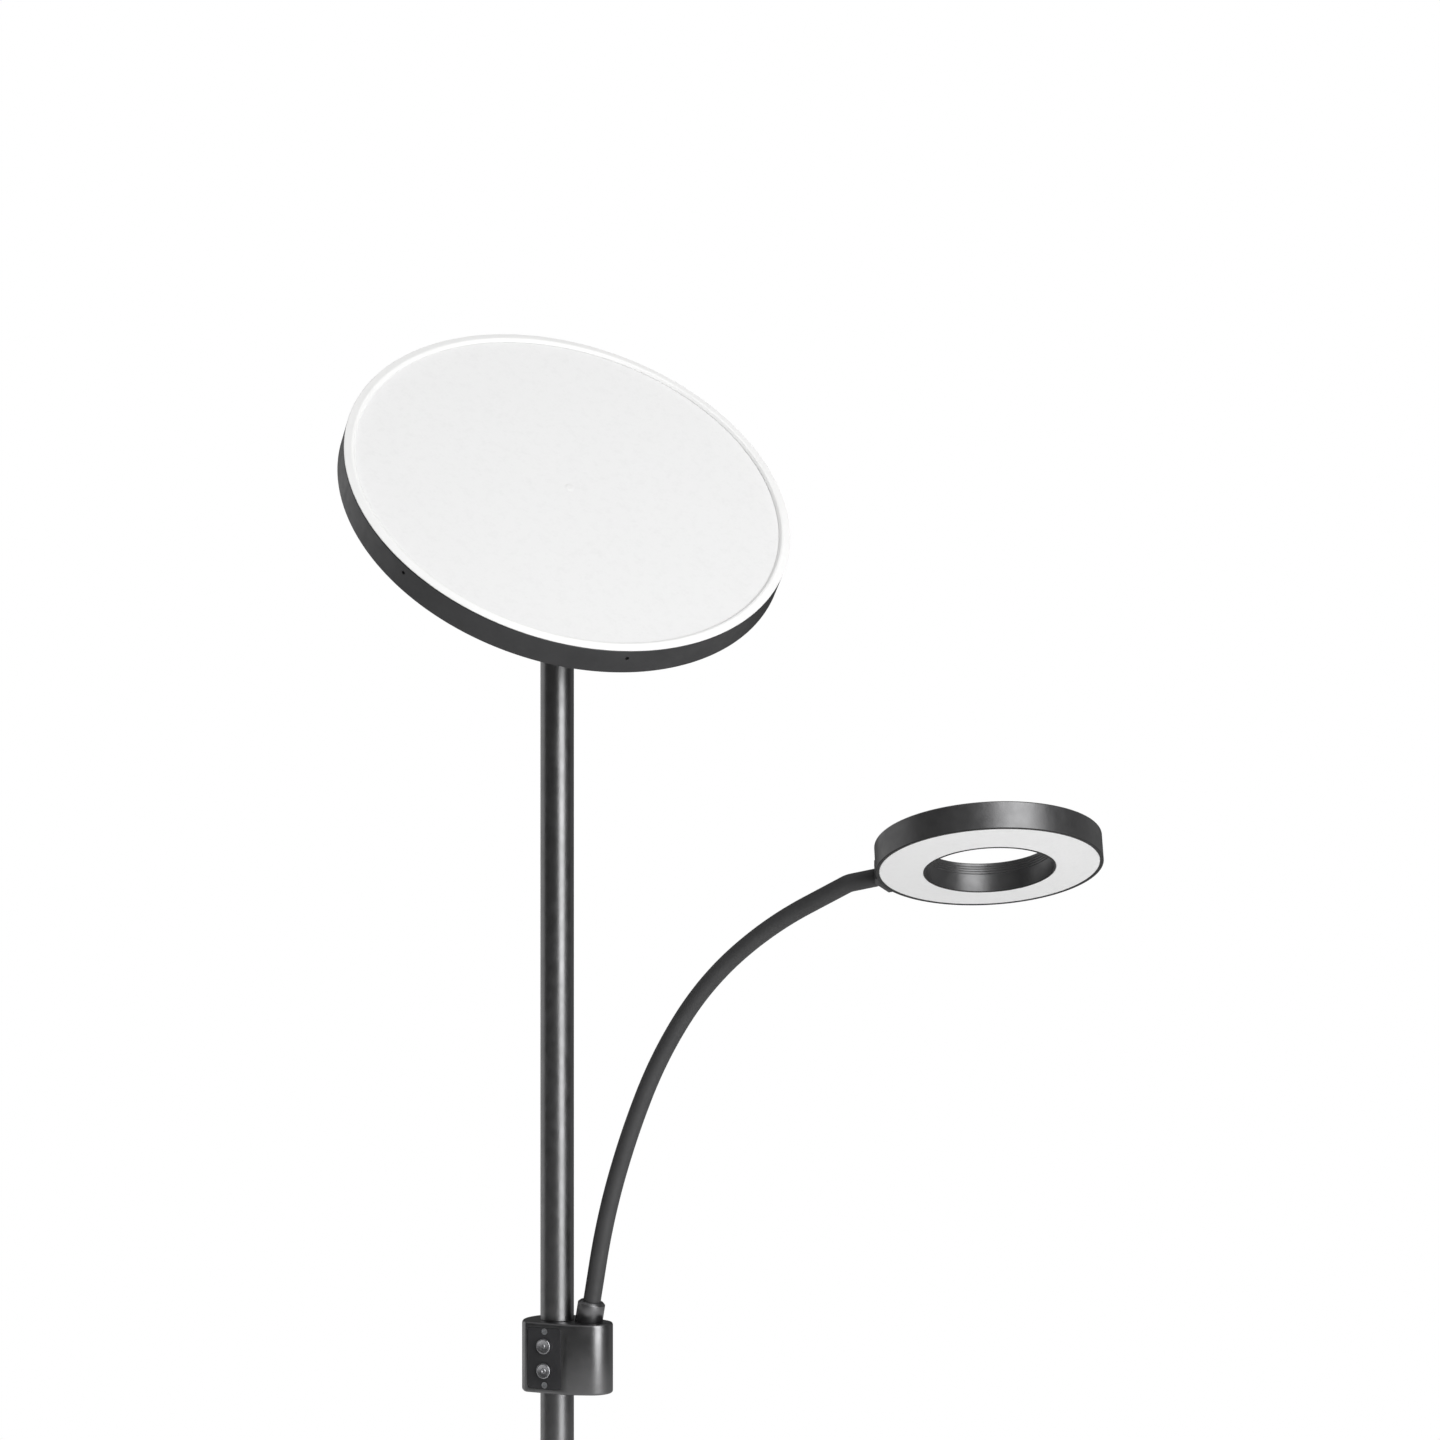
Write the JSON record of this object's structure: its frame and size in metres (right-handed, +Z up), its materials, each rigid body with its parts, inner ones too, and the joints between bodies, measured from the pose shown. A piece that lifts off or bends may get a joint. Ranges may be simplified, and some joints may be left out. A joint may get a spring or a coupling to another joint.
{
  "type": "torchiere floor lamp",
  "caption": "Torchiere floor lamp: slim pole on a round weighted base, a tilting disc light head on top and a ring-shaped reading light on a gooseneck arm.",
  "frame": {"origin": "on the floor, at the middle of the felt under the base, on the pole's axis", "axes": "+Z up along the pole; +X towards the reading arm; the buttons face -Y"},
  "size_m": [0.5099, 0.2853, 1.8511],
  "materials": {
    "stand_metal": "satin gunmetal, metallic",
    "head_metal": "matt charcoal paint",
    "ring_metal": "satin gunmetal, metallic",
    "plate_metal": "matte black",
    "iron": "rough cast",
    "felt": "black felt",
    "grommet_rubber": "matte",
    "zinc_steel": "zinc plated",
    "black_screw": "black oxide",
    "cover_plastic": "fine moulded texture",
    "button_metal": "turned and plated",
    "board": "solder mask",
    "switch_plastic": "moulded",
    "neck_sleeve": "matte black sleeve",
    "led_board": "white solder mask",
    "led": "phosphor",
    "white_plastic": "satin white",
    "bush_plastic": "moulded nylon",
    "head_opal": "prismatic opal diffuser",
    "ring_opal": "opal diffuser"
  },
  "bodies": {
    "stand": {"base_felt": "felt", "base_plate": "plate_metal", "base_screws": "zinc_steel", "base_weight": "iron", "base_cover": "stand_metal", "cord_grommet": "grommet_rubber", "threaded_rod": "zinc_steel", "rod_washer": "zinc_steel", "rod_nut": "zinc_steel", "base_collar": "stand_metal", "foot_coupler": "zinc_steel", "pole_lower": "stand_metal", "pole_middle": "stand_metal", "pole_upper": "stand_metal", "pole_couplers": "zinc_steel", "pole_top": "stand_metal", "hub_body": "stand_metal", "hub_cover": "cover_plastic", "hub_screws": "zinc_steel", "control_board": "board", "push_switches": "switch_plastic", "neck_collar": "stand_metal", "neck_root": "neck_sleeve", "swivel_bush": "bush_plastic"},
    "main_button": {"button_main": "button_metal"},
    "reading_button": {"button_reading": "button_metal"},
    "neck_1": {"neck_link_1": "neck_sleeve"},
    "neck_2": {"neck_link_2": "neck_sleeve"},
    "neck_3": {"neck_link_3": "neck_sleeve"},
    "neck_4": {"neck_link_4": "neck_sleeve"},
    "neck_5": {"neck_link_5": "neck_sleeve", "neck_tip": "neck_sleeve", "neck_elbow": "neck_sleeve", "ring_stem": "neck_sleeve", "stem_clip": "zinc_steel"},
    "reading_head": {"ring_bracket": "cover_plastic", "roll_screw": "zinc_steel", "ring_bracket_screws": "zinc_steel", "ring_housing": "ring_metal", "ring_led_board": "led_board", "ring_leds": "led", "ring_diffuser": "ring_opal"},
    "swivel": {"head_knuckle": "head_metal", "swivel_clip": "zinc_steel"},
    "main_head": {"tilt_bolt": "zinc_steel", "tilt_nut": "zinc_steel", "tilt_washers": "zinc_steel", "tilt_bracket": "head_metal", "bracket_rivets": "zinc_steel", "head_pan": "head_metal", "head_led_board": "led_board", "head_leds": "led", "head_spacer": "white_plastic", "head_diffuser": "head_opal", "head_bezel": "white_plastic", "rim_screws": "black_screw"}
  },
  "joints": [
    {"name": "main_button_press", "type": "slide", "parent": "stand", "child": "main_button", "axis": [0, 1, 0], "range_m": [0, 0.0012], "stiffness_N_per_m": 350},
    {"name": "reading_button_press", "type": "slide", "parent": "stand", "child": "reading_button", "axis": [0, 1, 0], "range_m": [0, 0.0012], "stiffness_N_per_m": 350},
    {"name": "neck_bend", "type": "hinge", "parent": "stand", "child": "neck_1", "pos_m": [0.03031, 0, 1.23584], "axis": [0, 1, 0], "range_deg": [-9, 16]},
    {"name": "neck_sway", "type": "hinge", "parent": "neck_1", "child": "neck_2", "pos_m": [0.04399, 0, 1.29217], "axis": [0.9548, 0, -0.2974], "range_deg": [-15, 15]},
    {"name": "neck_bend_middle", "type": "hinge", "parent": "neck_2", "child": "neck_3", "pos_m": [0.0641, 0, 1.34654], "axis": [0, 1, 0], "range_deg": [-9, 16]},
    {"name": "neck_sway_upper", "type": "hinge", "parent": "neck_3", "child": "neck_4", "pos_m": [0.09213, 0, 1.39721], "axis": [0.8231, 0, -0.5678], "range_deg": [-15, 15]},
    {"name": "neck_bend_upper", "type": "hinge", "parent": "neck_4", "child": "neck_5", "pos_m": [0.13119, 0, 1.43984], "axis": [0, 1, 0], "range_deg": [-9, 16]},
    {"name": "ring_roll", "type": "hinge", "parent": "neck_5", "child": "reading_head", "pos_m": [0.30362, 0, 1.5058], "axis": [0.9794, 0, 0.2019], "range_deg": [-70, 105]},
    {"name": "head_swivel", "type": "hinge", "parent": "stand", "child": "swivel", "pos_m": [0, 0, 1.719], "axis": [0, 0, 1], "range_deg": [-160, 160]},
    {"name": "head_tilt", "type": "hinge", "parent": "swivel", "child": "main_head", "pos_m": [0, 0, 1.719], "axis": [0.6626, 0.749, 0], "range_deg": [-46.4, 43.6]}
  ],
  "couplings": [
    {"joint": "neck_bend_middle", "follows": "neck_bend", "ratio": 1},
    {"joint": "neck_bend_upper", "follows": "neck_bend", "ratio": 1},
    {"joint": "neck_sway_upper", "follows": "neck_sway", "ratio": 1}
  ]
}
